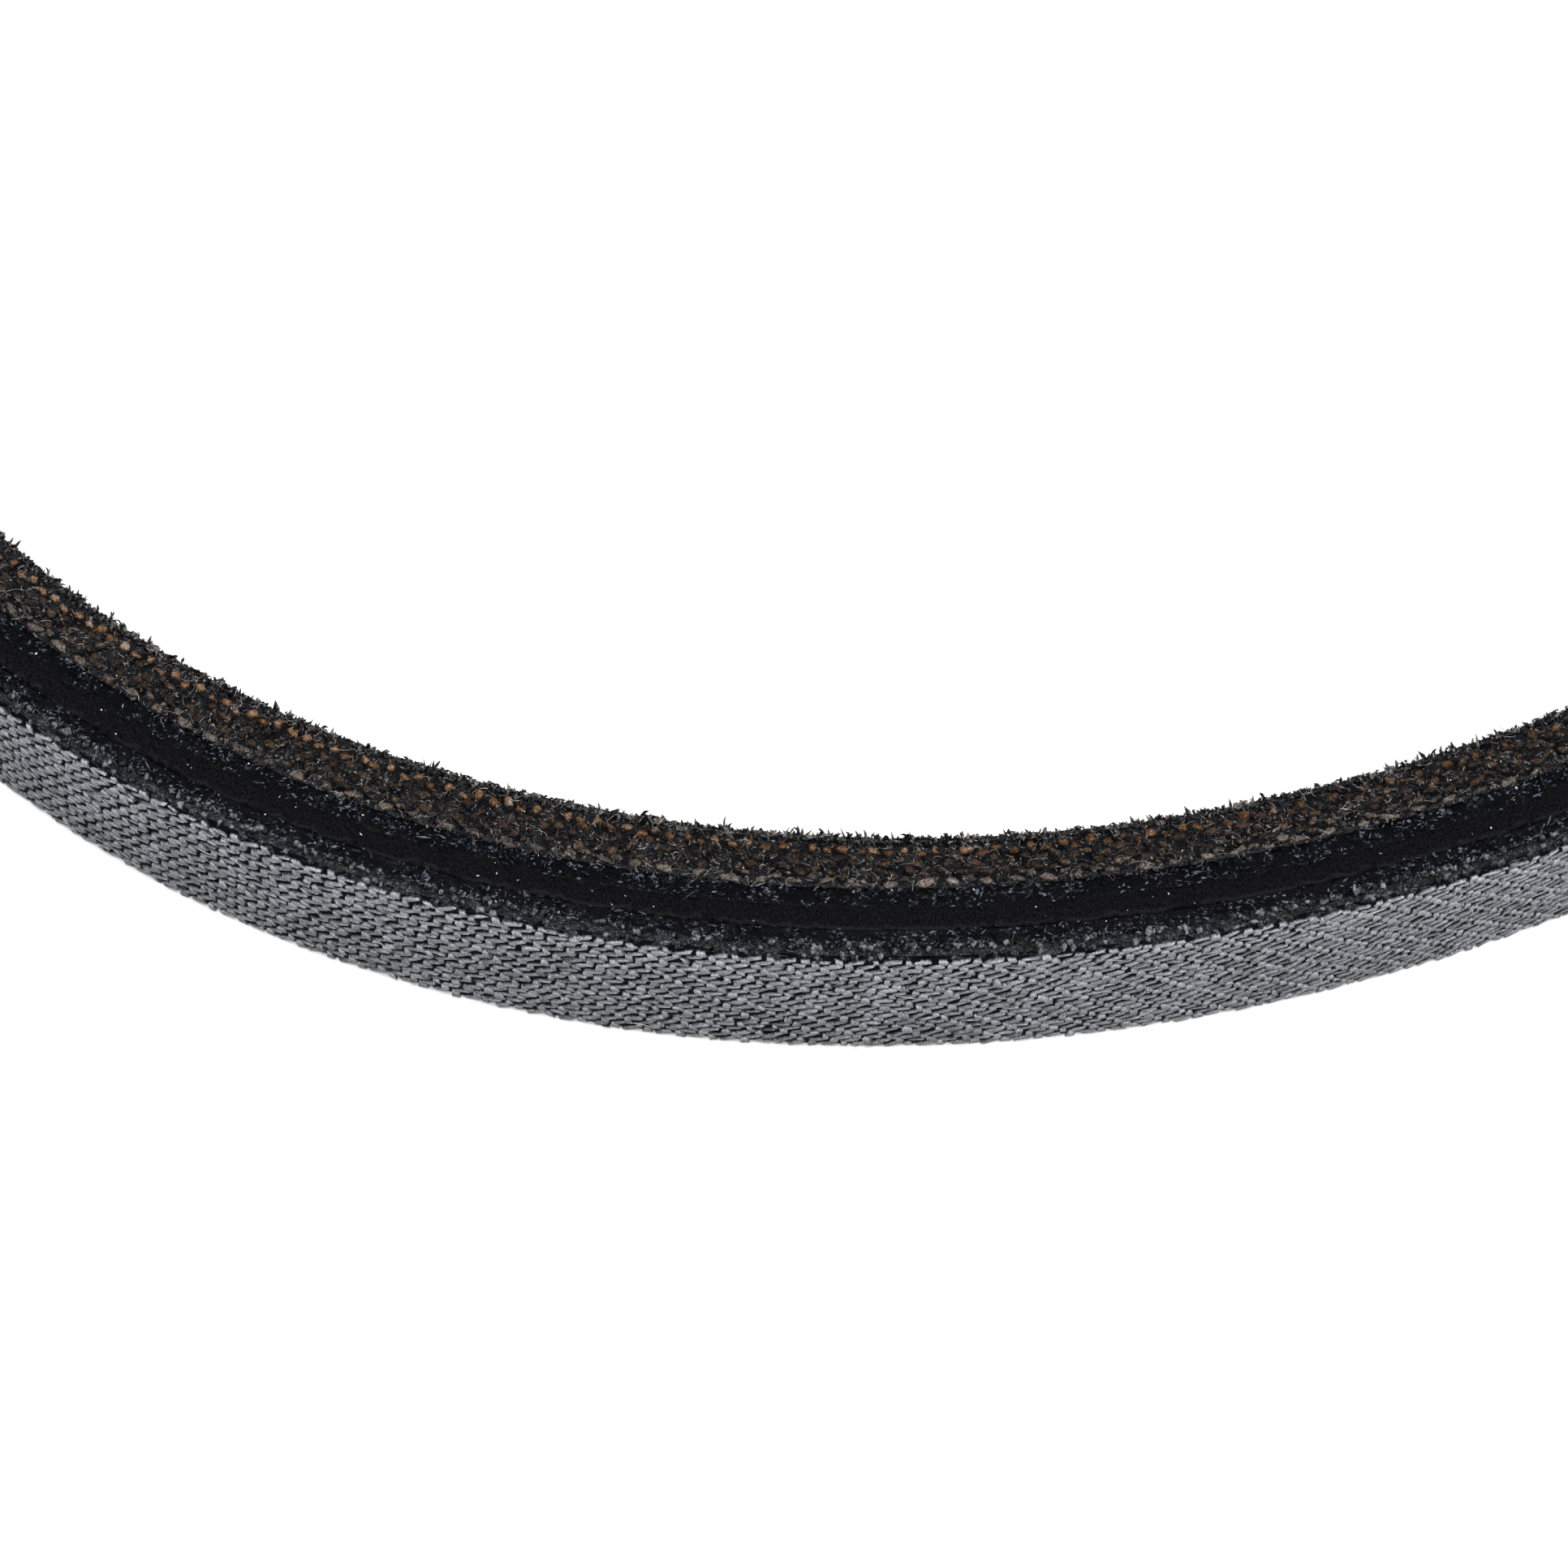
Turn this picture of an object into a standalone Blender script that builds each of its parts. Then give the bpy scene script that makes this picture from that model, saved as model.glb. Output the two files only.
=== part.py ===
"""Raw-edge laminated V-belt, endless, lying on its side as an open oval loop.

The belt is a bonded stack of closed rings. From the back (outside) to the inside: two rubberised
back plies with a film of gum between them, the cushion gum, one tensile cord wound as a helix,
the adhesion gum, four laminate plies with films of gum between them, and the inner cover ply.

Frame: metres, +Z up, origin at the middle of the loop on the surface that the belt lies on,
+X along the loop's longer axis.
"""

import math

import bpy
import numpy as np

MM = 0.001

# Driving dimensions of the section: a half inch wide, five sixteenths of an inch deep.
TOP_WIDTH = 12.7 * MM
THICKNESS = 7.94 * MM
GROOVE_ANGLE = math.radians(40.0)  # both flanks together, so each leans by half of it

# Driving dimensions of the loop: 21 inches round the outside, relaxed into an oval.
OUTSIDE_LENGTH = 533.4 * MM
LOOP_ASPECT = 1.272  # longer axis over shorter axis
STATIONS = 64  # facets round the loop, one of them centred on each end of each axis
LENGTH_SAMPLES = 20001  # points that the oval's length is summed over

BOND_GAP = 0.04 * MM  # between one layer and the next

# Tensile cord, wound from the lower flank to the upper one in whole turns.
CORD_DIAMETER = 1.20 * MM
CORD_TURNS = 7
CORD_SIDES_SETTING = 1  # a bevel resolution of 1 gives six sides

# Each layer from the back inwards: node name, thickness, material name, sRGB colour, roughness.
# The cord's own row only keeps its room in the stack.
CORD = "tensile_cord"
LAYERS = (
    ("back_cover_ply", 0.42 * MM, "back_canvas", "#686A6F", 0.60),
    ("back_skim_gum", 0.06 * MM, "skim_gum", "#26272B", 0.70),
    ("back_inner_ply", 0.40 * MM, "back_edge_canvas", "#3C3D40", 0.85),
    ("cushion_gum", 1.08 * MM, "cushion_gum", "#1F2024", 0.75),
    (CORD, CORD_DIAMETER, "cord", "#161619", 0.45),
    ("adhesion_gum", 1.26 * MM, "adhesion_gum", "#1B1C21", 0.70),
    ("laminate_ply_1", 0.60 * MM, "laminate_canvas", "#383533", 0.90),
    ("skim_gum_1", 0.08 * MM, "skim_gum", "#26272B", 0.70),
    ("laminate_ply_2", 0.60 * MM, "laminate_canvas", "#383533", 0.90),
    ("skim_gum_2", 0.08 * MM, "skim_gum", "#26272B", 0.70),
    ("laminate_ply_3", 0.60 * MM, "laminate_canvas", "#383533", 0.90),
    ("skim_gum_3", 0.08 * MM, "skim_gum", "#26272B", 0.70),
    ("laminate_ply_4", 0.60 * MM, "laminate_inner_canvas", "#5A4229", 0.90),
    ("skim_gum_4", 0.06 * MM, "skim_gum", "#26272B", 0.70),
    ("inner_cover_ply", 0.26 * MM, "inner_canvas", "#222122", 0.90),
)


def oval_half_axes():
    """Half axes of the ellipse of this aspect that is as long round as the belt's outside."""
    angles = np.linspace(0.0, 2.0 * math.pi, LENGTH_SAMPLES)
    steps = np.hypot(np.diff(LOOP_ASPECT * np.cos(angles)), np.diff(np.sin(angles)))
    shorter = OUTSIDE_LENGTH / steps.sum()
    return LOOP_ASPECT * shorter, shorter


def loop_stations():
    """Corner points of the outer edge, evenly spaced along it, with the inward mitre at each.

    A mitre is as long as a corner needs for an inward offset of one to move the facets by one,
    so every layer's facets are parallel to the outer ones and the layers are evenly thick.
    """
    longer, shorter = oval_half_axes()
    angles = np.linspace(0.0, 2.0 * math.pi, LENGTH_SAMPLES)
    x, y = longer * np.cos(angles), shorter * np.sin(angles)
    run = np.concatenate([[0.0], np.cumsum(np.hypot(np.diff(x), np.diff(y)))])
    places = (np.arange(STATIONS) + 0.5) / STATIONS * run[-1]
    at = np.interp(places, run, angles)
    points = np.stack([longer * np.cos(at), shorter * np.sin(at)], axis=1)
    sides = np.roll(points, -1, axis=0) - points
    sides /= np.linalg.norm(sides, axis=1)[:, None]
    inward = np.stack([-sides[:, 1], sides[:, 0]], axis=1)
    before = np.roll(inward, 1, axis=0)
    mitres = (inward + before) / (1.0 + (inward * before).sum(axis=1))[:, None]
    return points, mitres


POINTS, MITRES = loop_stations()


def loop_ring(depth):
    """Corner points of the loop at this depth inside the back face, as x, y."""
    return POINTS + MITRES * depth


def flank_inset(depth):
    """How far the flanks have closed in from each edge of the back at this depth."""
    return depth * math.tan(GROOVE_ANGLE / 2.0)


def linear_from_hex(code):
    """A colour for a shader socket, from an sRGB code such as #686A6F."""
    values = [int(code[i:i + 2], 16) / 255.0 for i in (1, 3, 5)]
    return [v / 12.92 if v <= 0.04045 else ((v + 0.055) / 1.055) ** 2.4 for v in values]


def material(name, colour, roughness):
    """The Principled material of this name, made the first time that a layer asks for it."""
    found = bpy.data.materials.get(name)
    if found:
        return found
    made = bpy.data.materials.new(name)
    made.use_nodes = True
    shader = made.node_tree.nodes["Principled BSDF"]
    shader.inputs["Base Color"].default_value = (*linear_from_hex(colour), 1.0)
    shader.inputs["Roughness"].default_value = roughness
    shader.inputs["Metallic"].default_value = 0.0
    return made


def place(name, data, finish):
    """An object of this name for a mesh or a curve, at the origin, with its material."""
    data.materials.append(finish)
    obj = bpy.data.objects.new(name, data)
    bpy.context.scene.collection.objects.link(obj)
    return obj


def layer_ring(name, outer_depth, thickness, finish):
    """A closed ring between two depths, with both edges cut to the flank angle."""
    inner_depth = outer_depth + thickness
    corners = (
        (outer_depth, flank_inset(outer_depth)),
        (inner_depth, flank_inset(inner_depth)),
        (inner_depth, TOP_WIDTH - flank_inset(inner_depth)),
        (outer_depth, TOP_WIDTH - flank_inset(outer_depth)),
    )
    vertices = []
    for depth, height in corners:
        vertices += [(x, y, height) for x, y in loop_ring(depth)]
    faces = []
    for corner in range(len(corners)):
        low = corner * STATIONS
        high = (corner + 1) % len(corners) * STATIONS
        for station in range(STATIONS):
            onward = (station + 1) % STATIONS
            faces.append((low + station, high + station, high + onward, low + onward))
    mesh = bpy.data.meshes.new(name)
    mesh.from_pydata(vertices, [], faces)
    mesh.shade_smooth()
    mesh.set_sharp_from_angle(angle=GROOVE_ANGLE)
    return place(name, mesh, finish)


def cord_helix(name, outer_depth, finish):
    """One cord wound round the loop, its first and last turns tangent to the cut flanks."""
    radius = CORD_DIAMETER / 2.0
    depth = outer_depth + radius
    lowest = flank_inset(depth) + radius / math.cos(GROOVE_ANGLE / 2.0)
    highest = TOP_WIDTH - lowest
    ring = loop_ring(depth)
    steps = CORD_TURNS * STATIONS
    curve = bpy.data.curves.new(name, "CURVE")
    curve.dimensions = "3D"
    curve.twist_mode = "Z_UP"
    curve.bevel_depth = radius
    curve.bevel_resolution = CORD_SIDES_SETTING
    curve.use_fill_caps = True
    spline = curve.splines.new("POLY")
    spline.points.add(steps)
    for step, point in enumerate(spline.points):
        x, y = ring[step % STATIONS]
        point.co = (x, y, lowest + (highest - lowest) * step / steps, 1.0)
    spline.use_smooth = True
    return place(name, curve, finish)


def build():
    """Every layer in its place, from the back face inwards."""
    for obj in list(bpy.data.objects):
        bpy.data.objects.remove(obj, do_unlink=True)
    depth = 0.0
    for name, thickness, finish_name, colour, roughness in LAYERS:
        finish = material(finish_name, colour, roughness)
        if name == CORD:
            cord_helix(name, depth, finish)
        else:
            layer_ring(name, depth, thickness, finish)
        depth += thickness + BOND_GAP
    if abs(depth - BOND_GAP - THICKNESS) > BOND_GAP / 2.0:
        raise ValueError("the layers don't add up to the belt's thickness")


build()
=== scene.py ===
"""The looks of a raw-edge laminated V-belt: woven back, cut flanks, ragged inner edge.

Every piece is laid out flat, as run along the belt, distance across a face and lift off that
face, and is then wrapped round the loop. Lengths are metres.
"""

import math

import bpy
import numpy as np
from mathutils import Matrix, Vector


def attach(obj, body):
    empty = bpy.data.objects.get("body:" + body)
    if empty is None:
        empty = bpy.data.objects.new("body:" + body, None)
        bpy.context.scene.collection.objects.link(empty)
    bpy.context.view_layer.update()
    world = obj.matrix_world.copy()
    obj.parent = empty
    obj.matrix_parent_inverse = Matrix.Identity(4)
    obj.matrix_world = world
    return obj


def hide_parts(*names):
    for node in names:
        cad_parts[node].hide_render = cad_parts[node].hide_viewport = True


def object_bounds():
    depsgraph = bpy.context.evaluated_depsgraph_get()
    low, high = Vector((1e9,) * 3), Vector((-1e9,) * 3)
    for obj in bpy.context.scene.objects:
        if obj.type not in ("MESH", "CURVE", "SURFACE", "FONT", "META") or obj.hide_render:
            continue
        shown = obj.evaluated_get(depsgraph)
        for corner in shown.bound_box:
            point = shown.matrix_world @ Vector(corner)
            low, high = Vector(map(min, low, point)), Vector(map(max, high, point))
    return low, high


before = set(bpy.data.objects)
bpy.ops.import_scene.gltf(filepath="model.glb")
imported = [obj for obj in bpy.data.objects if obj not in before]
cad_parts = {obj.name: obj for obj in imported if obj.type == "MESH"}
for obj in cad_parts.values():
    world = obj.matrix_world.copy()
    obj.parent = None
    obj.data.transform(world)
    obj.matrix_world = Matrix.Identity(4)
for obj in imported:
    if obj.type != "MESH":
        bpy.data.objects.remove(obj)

bl_info = {
    "name": "Raw-edge V-belt",
    "version": (1, 0, 0),
    "blender": (4, 5, 0),
    "location": "3D View > Sidebar > V-belt",
    "description": "Woven back, ground flanks and ragged inner edge of a laminated V-belt",
    "category": "Object",
}

CAD_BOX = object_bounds()
MM = 0.001
LOOP_SAMPLES = 40001  # points that the loop's length is summed over

# The flanks lean by half of the 40 degree groove that the belt runs in.
FLANK_LEAN = math.radians(20.0)
LEAN_SIN = math.sin(FLANK_LEAN)
LEAN_COS = math.cos(FLANK_LEAN)
LEAN_TAN = math.tan(FLANK_LEAN)


# ---- the loop and its faces

def mesh_points(obj):
    """The points of an object's mesh."""
    points = np.empty(len(obj.data.vertices) * 3, np.float32)
    obj.data.vertices.foreach_get("co", points)
    return points.reshape(-1, 3).astype(float)


def node_depths(name):
    """How deep under the back face a ply starts and ends, read off its flank."""
    heights = mesh_points(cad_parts[name])[:, 2]
    low = heights[heights < WIDTH / 2.0]
    return low.min() / LEAN_TAN, low.max() / LEAN_TAN


def loop_half_axes():
    """Half axes of the oval through the corners of the back's lower edge."""
    points = mesh_points(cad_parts["back_cover_ply"])
    edge = points[points[:, 2] < 0.01 * MM, :2]
    inverse_squares = np.linalg.lstsq(edge ** 2, np.ones(len(edge)), rcond=None)[0]
    return 1.0 / np.sqrt(inverse_squares)


WIDTH = float(CAD_BOX[1][2] - CAD_BOX[0][2])
LONGER, SHORTER = loop_half_axes()
TURN = np.linspace(0.0, 2.0 * math.pi, LOOP_SAMPLES)
RUN = np.concatenate([[0.0], np.cumsum(np.hypot(
    np.diff(LONGER * np.cos(TURN)), np.diff(SHORTER * np.sin(TURN))))])
LENGTH = float(RUN[-1])


def wrap(run, depth, height):
    """Points round the loop: run along the back, depth inside it, height over the floor."""
    turn = np.interp(np.mod(run, LENGTH), RUN, TURN)
    cosine, sine = np.cos(turn), np.sin(turn)
    inward_x, inward_y = -cosine / LONGER, -sine / SHORTER
    size = np.hypot(inward_x, inward_y)
    x = LONGER * cosine + inward_x / size * depth
    y = SHORTER * sine + inward_y / size * depth
    return np.stack([x, y, np.broadcast_to(height, x.shape)], axis=-1)


def slow_wave(run, waves):
    """A wave round the loop, 1 at the crest of the inner plies' swell."""
    return np.cos(waves * 2.0 * math.pi * (run - SWELL_CREST) / LENGTH)


def deepened(run, depth):
    """Depth with the swell of the inner plies, which stand out in slow waves round the loop."""
    swell = SWELL * (0.6 * slow_wave(run, 4) + 0.4 * slow_wave(run, 8))
    share = np.clip((depth - SWELL_START) / (SWELL_END - SWELL_START), 0.0, 1.0)
    return depth + swell * share


def on_back(flat):
    """Flat points on the back face: across is the height, lift points out of the loop."""
    return wrap(flat[..., 0], -flat[..., 2], flat[..., 1])


def on_inside(flat):
    """Flat points on the face inside the loop, run backwards so that lift points out of it."""
    depth = deepened(-flat[..., 0], THICKNESS + flat[..., 2])
    return wrap(-flat[..., 0], depth, flat[..., 1])


def on_flank(flat, side=1.0):
    """Flat points on a cut flank: across is the depth under the back.

    The lower flank, side -1, is the upper one turned over and run backwards.
    """
    run, across, lift = side * flat[..., 0], flat[..., 1], flat[..., 2]
    depth = deepened(run, across + lift * LEAN_SIN)
    height = across * LEAN_TAN - lift * LEAN_COS
    return wrap(run, depth, WIDTH - height if side > 0.0 else height)


THICKNESS = node_depths("inner_cover_ply")[1]
SWELL = 0.26 * MM
SWELL_CREST = 306.0 * MM
SWELL_START = 4.6 * MM
SWELL_END = 7.3 * MM
UPPER_SHARE = 0.75  # of the loose detail, which the belt's upper flank shows; the rest lies below


# ---- sizes and colours

def length_property(name, description, millimetres):
    """A length that a user can change, shown in the scene's unit."""
    return bpy.props.FloatProperty(
        name=name, description=description, default=millimetres * MM,
        min=0.0, precision=5, subtype="DISTANCE", unit="LENGTH")


def linear_from_hex(code):
    """A colour for a shader socket, from an sRGB code such as #686A6F."""
    values = [int(code[i:i + 2], 16) / 255.0 for i in (1, 3, 5)]
    return [v / 12.92 if v <= 0.04045 else ((v + 0.055) / 1.055) ** 2.4 for v in values]


def colour_property(name, description, code):
    """A colour that a user can change."""
    return bpy.props.FloatVectorProperty(
        name=name, description=description, default=linear_from_hex(code),
        min=0.0, max=1.0, size=3, subtype="COLOR")


class WeaveSizes(bpy.types.PropertyGroup):
    """Sizes of the canvas on the back."""

    repeats: bpy.props.IntProperty(
        name="Repeats", description="Weave repeats round the loop", default=310, min=8)
    rows: bpy.props.IntProperty(
        name="Rows", description="Rows of floats across the back", default=23, min=4)
    row_shift: length_property("Row shift", "How far each row is set back from the last", 0.515)
    steep_length: length_property("Steep float length", "Length of a steep float", 0.84)
    steep_width: length_property("Steep float width", "Width of a steep float", 0.46)
    steep_angle: bpy.props.FloatProperty(
        name="Steep float angle", description="Slope of a steep float",
        default=math.radians(100.0), subtype="ANGLE", unit="ROTATION")
    shallow_length: length_property("Shallow float length", "Length of a shallow float", 1.02)
    shallow_width: length_property("Shallow float width", "Width of a shallow float", 0.325)
    shallow_angle: bpy.props.FloatProperty(
        name="Shallow float angle", description="Slope of a shallow float",
        default=math.radians(22.0), subtype="ANGLE", unit="ROTATION")
    float_rise: length_property("Float rise", "Height of a float over the rubber", 0.17)


class FlankSizes(bpy.types.PropertyGroup):
    """Sizes of what the cut flanks show."""

    station: length_property("Station", "Step of the flank's mesh along the belt", 0.22)
    fibre_radius: length_property("Fibre radius", "Half the thickness of a loose fibre", 0.011)
    fibre_length: length_property("Fibre length", "Middle length of a loose fibre", 0.75)


class BeltColours(bpy.types.PropertyGroup):
    """Colours of the belt's stock."""

    canvas: colour_property("Back canvas", "Polished rubbered canvas on the back", "#737479")
    # The lighter canvas colour is both the raised threads and the painted highlight on the floats'
    # upper rims.
    canvas_worn: colour_property("Worn canvas and highlight", "Raised threads of the back", "#929499")
    rubber: colour_property("Rubber", "Black rubber of the body", "#13141C")
    # Granule colour of the ground rubber; doubled, it is also their painted glint.
    rubber_bloom: colour_property("Rubber bloom", "Ground granules of the rubber", "#484C54")
    torn: colour_property("Torn rubber", "Ragged rubber of the laminate", "#55514D")
    cord: colour_property("Cord", "Cut side of the cords", "#111114")
    fuzz: colour_property("Fuzz", "Cut yarns of the back plies", "#686A6E")
    taupe: colour_property("Taupe yarn", "Yarn ends beside the gum", "#6B5F56")
    brown: colour_property("Brown yarn", "Yarn ends of the middle plies", "#54402F")
    amber: colour_property("Amber yarn", "Yarn ends of the innermost ply", "#7C5838")
    # Lightened to near white, this colour also paints the glints of the flank specks.
    fibre: colour_property("Fibre", "Loose cotton fibres", "#A6A29D")


# ---- modelling

def start_fresh():
    """Nothing selected, and out of edit mode."""
    if bpy.context.mode != "OBJECT":
        bpy.ops.object.mode_set(mode="OBJECT")
    bpy.ops.object.select_all(action="DESELECT")


def select_only(obj, kind, test):
    """Selects just the faces (FACE) or points (VERT) that pass the test, to be edited."""
    bpy.ops.object.mode_set(mode="EDIT")
    bpy.ops.mesh.select_mode(type=kind)
    bpy.ops.mesh.select_all(action="DESELECT")
    bpy.ops.object.mode_set(mode="OBJECT")
    for part in obj.data.polygons if kind == "FACE" else obj.data.vertices:
        part.select = test(part)
    bpy.ops.object.mode_set(mode="EDIT")


def apply_modifier(obj, modifier):
    """Applies one modifier of an object."""
    with bpy.context.temp_override(object=obj, active_object=obj, selected_objects=[obj]):
        bpy.ops.object.modifier_apply(modifier=modifier.name)


def float_unit(sides=8, top=0.84, square=True):
    """One float of a yarn: a flat pad, square with cut corners or round, 2 across and 1 high."""
    start_fresh()
    bpy.ops.mesh.primitive_cylinder_add(
        vertices=sides, radius=1.0, depth=1.0, location=(0.0, 0.0, 0.5),
        rotation=(0.0, 0.0, math.pi / sides))
    obj = bpy.context.object
    bpy.ops.object.transform_apply()
    if square and sides == 8:
        for axis, reach, scale in (
                (0, 0.5, (1.75, 1.0, 1.0)), (1, 0.5, (1.0, 1.35, 1.0)), (2, 2.0, (1.08, 1.08, 1.0))):
            select_only(obj, "VERT", lambda point: abs(point.co[axis]) < reach)
            bpy.ops.transform.resize(value=scale, center_override=(0.0, 0.0, 0.0))
    select_only(obj, "FACE", lambda face: face.normal.z > 0.9)
    bpy.ops.transform.resize(value=(top, top, 1.0), center_override=(0.0, 0.0, 1.0))
    bpy.ops.object.mode_set(mode="OBJECT")
    return obj


def fibre_unit(lengths):
    """A three-sided fibre, 1 long up Z and 1 in radius, in as many lengths that can curl."""
    start_fresh()
    bpy.ops.mesh.primitive_cylinder_add(
        vertices=3, radius=1.0, depth=1.0, location=(0.0, 0.0, 0.5))
    obj = bpy.context.object
    bpy.ops.object.transform_apply()
    bpy.ops.object.mode_set(mode="EDIT")
    for joint in range(1, lengths):
        bpy.ops.mesh.select_all(action="SELECT")
        bpy.ops.mesh.bisect(plane_co=(0.0, 0.0, joint / lengths), plane_no=(0.0, 0.0, 1.0))
    select_only(obj, "FACE", lambda face: face.normal.z > 0.9)
    bpy.ops.transform.resize(value=(0.35, 0.35, 1.0), center_override=(0.0, 0.0, 1.0))
    bpy.ops.object.mode_set(mode="OBJECT")
    return obj


def crumb_unit():
    """An eight-faced crumb, 2 across: a four-sided cone with its base drawn out to a point."""
    start_fresh()
    bpy.ops.mesh.primitive_cone_add(
        vertices=4, radius1=1.0, radius2=0.0, depth=1.3, location=(0.0, 0.0, 0.65),
        end_fill_type="TRIFAN")
    obj = bpy.context.object
    bpy.ops.object.transform_apply()
    select_only(obj, "VERT", lambda point: point.co.length < 0.1)
    bpy.ops.transform.translate(value=(0.0, 0.0, -1.0))
    bpy.ops.object.mode_set(mode="OBJECT")
    return obj


def repeat(unit, count):
    """Copies the unit within its own mesh; returns the points, copy by copy."""
    array = unit.modifiers.new("repeat", "ARRAY")
    array.use_relative_offset = False
    array.use_constant_offset = True
    array.constant_offset_displace = (0.0, 0.0, 0.0)
    array.count = count
    apply_modifier(unit, array)
    return mesh_points(unit).reshape(count, -1, 3)


def write_points(obj, points):
    """Moves every point of a mesh to its place."""
    obj.data.vertices.foreach_set("co", points.astype(np.float32).ravel())
    obj.data.update()


def write_tone(obj, tone):
    """Stores a tone, 0 to 1, on every point, for the materials, from one per point or copy."""
    tone = np.repeat(tone, len(obj.data.vertices) // tone.size)
    attribute = obj.data.attributes.get("tone") or obj.data.attributes.new("tone", "FLOAT", "POINT")
    attribute.data.foreach_set("value", np.clip(tone, 0.0, 1.0).astype(np.float32))


def turned(points, yaw, pitch, roll):
    """Copies turned by their own angles about X, then Y, then Z, one angle of each per copy."""
    parts = [points[..., axis] for axis in range(3)]
    for first, second, angle in ((1, 2, roll), (2, 0, pitch), (0, 1, yaw)):
        c, s = np.cos(angle)[:, None], np.sin(angle)[:, None]
        before, after = parts[first], parts[second]
        parts[first], parts[second] = c * before - s * after, s * before + c * after
    return np.stack(parts, axis=-1)


def varied(draw, count, share):
    """A factor for each copy, off one by this share at random."""
    return (1.0 + share * draw.standard_normal(count))[:, None]


def on_both_flanks(points, upper_share=UPPER_SHARE):
    """Wraps the first copies on the upper flank and the rest on the lower one."""
    upper = int(round(len(points) * upper_share))
    return np.concatenate([on_flank(points[:upper]), on_flank(points[upper:], -1.0)])


def smooth_noise(run, across, grain, draw):
    """Smooth random values in -1 to 1 at this grain, the same at both ends of the run."""
    columns = max(int(round(LENGTH / grain)), 4)
    low = float(np.min(across))
    rows = int((float(np.max(across)) - low) / grain) + 3
    grid = draw.uniform(-1.0, 1.0, (rows, columns))
    u = np.mod(run, LENGTH) / LENGTH * columns
    v = (across - low) / grain
    column, row = np.floor(u).astype(int), np.floor(v).astype(int)
    fu, fv = u - column, v - row
    fu, fv = fu * fu * (3.0 - 2.0 * fu), fv * fv * (3.0 - 2.0 * fv)
    column, beyond = column % columns, (column + 1) % columns
    lower = grid[row, column] * (1.0 - fu) + grid[row, beyond] * fu
    upper = grid[row + 1, column] * (1.0 - fu) + grid[row + 1, beyond] * fu
    return lower * (1.0 - fv) + upper * fv


def turned_ring(stations, section):
    """A closed ring turned from a round section, and each point's station and section place."""
    start_fresh()
    radius = SHORTER / 2.0
    bpy.ops.mesh.primitive_circle_add(
        vertices=section, radius=radius / 2.0, location=(radius, 0.0, 0.0),
        rotation=(math.pi / 2.0, 0.0, 0.0))
    obj = bpy.context.object
    bpy.ops.object.transform_apply()
    screw = obj.modifiers.new("turn", "SCREW")
    screw.axis = "Z"
    screw.angle = 2.0 * math.pi
    screw.steps = screw.render_steps = stations
    screw.use_merge_vertices = False
    apply_modifier(obj, screw)
    bpy.ops.object.mode_set(mode="EDIT")
    bpy.ops.mesh.select_all(action="SELECT")
    bpy.ops.mesh.normals_make_consistent(inside=False)
    bpy.ops.object.mode_set(mode="OBJECT")
    x, y, z = mesh_points(obj).T
    around = np.arctan2(y, x) / (2.0 * math.pi) * stations
    place = np.arctan2(z, np.hypot(x, y) - radius) / (2.0 * math.pi) * section
    return obj, np.round(around).astype(int) % stations, np.round(place).astype(int) % section


def ply_ring(seed, outer, inner, rows, relief, coarseness=1.0):
    """A closed ring between two depths with both flanks cut, raised and sunk by the relief.

    relief takes run and across as arrays and a random source, and returns lift and tone.
    """
    stations = int(round(LENGTH / bpy.context.scene.belt_flanks.station / coarseness))
    section = 2 * rows + 2
    obj, station, place = turned_ring(stations, section)
    across = np.linspace(outer, inner, rows)
    run = np.arange(stations) / stations * LENGTH
    grid_run, grid_across = np.meshgrid(run, across, indexing="ij")
    draw = np.random.default_rng(seed)
    upper_lift, upper_tone = relief(grid_run, grid_across, draw)
    lower_lift, lower_tone = relief(grid_run, grid_across, draw)
    upper = on_flank(np.stack([grid_run, grid_across, upper_lift], axis=-1))
    lower = on_flank(np.stack([-grid_run, grid_across, lower_lift], axis=-1), -1.0)[:, ::-1]
    middle = np.full_like(run, WIDTH / 2.0)
    outside = wrap(run, deepened(run, outer), middle)[:, None]
    inside = wrap(run, deepened(run, inner), middle)[:, None]
    points = np.concatenate([outside, upper, inside, lower], axis=1)
    write_points(obj, points[station, place])
    hidden = np.zeros((stations, 1))
    tone = np.concatenate([hidden, upper_tone, hidden, lower_tone[:, ::-1]], axis=1)
    write_tone(obj, tone[station, place])
    write_run_map(obj, station, place, stations, section)
    obj.data.shade_smooth()
    return obj


def write_run_map(obj, station, place, stations, section):
    """A UV map in metres round a ring: U along the belt, V round its section."""
    mesh = obj.data
    corners = np.empty(len(mesh.loops), np.int32)
    mesh.loops.foreach_get("vertex_index", corners)
    shares = []
    for index, count in ((station, stations), (place, section)):
        index = index[corners].reshape(-1, 4)
        closing = index.max(axis=1, keepdims=True) - index.min(axis=1, keepdims=True) > 1
        shares.append(np.where(closing & (index == 0), count, index) / count)
    coordinates = np.stack(shares, axis=-1) * (LENGTH, 2.0 * THICKNESS)
    layer = mesh.uv_layers.active or mesh.uv_layers.new(name="UVMap")
    layer.data.foreach_set("uv", coordinates.astype(np.float32).ravel())


def join(main, *others):
    """Joins pieces into the first one."""
    start_fresh()
    for obj in (main, *others):
        obj.select_set(True)
    bpy.context.view_layer.objects.active = main
    bpy.ops.object.join()
    return main


def hand_over(obj, name, material, slot, *nodes):
    """Names a piece, gives it its finish, ties it to the belt and lets it stand for CAD nodes."""
    obj.name = obj.data.name = name
    obj.data.materials.clear()
    obj.data.materials.append(material)
    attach(obj, "root")
    if nodes:
        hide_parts(*nodes)


def lay(unit, points, run, across, lift, face=on_both_flanks):
    """Puts each copy at its place on a face."""
    places = np.stack([run, across, lift], axis=-1)
    write_points(unit, face(points + places[:, None, :]))


# ---- materials

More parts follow.
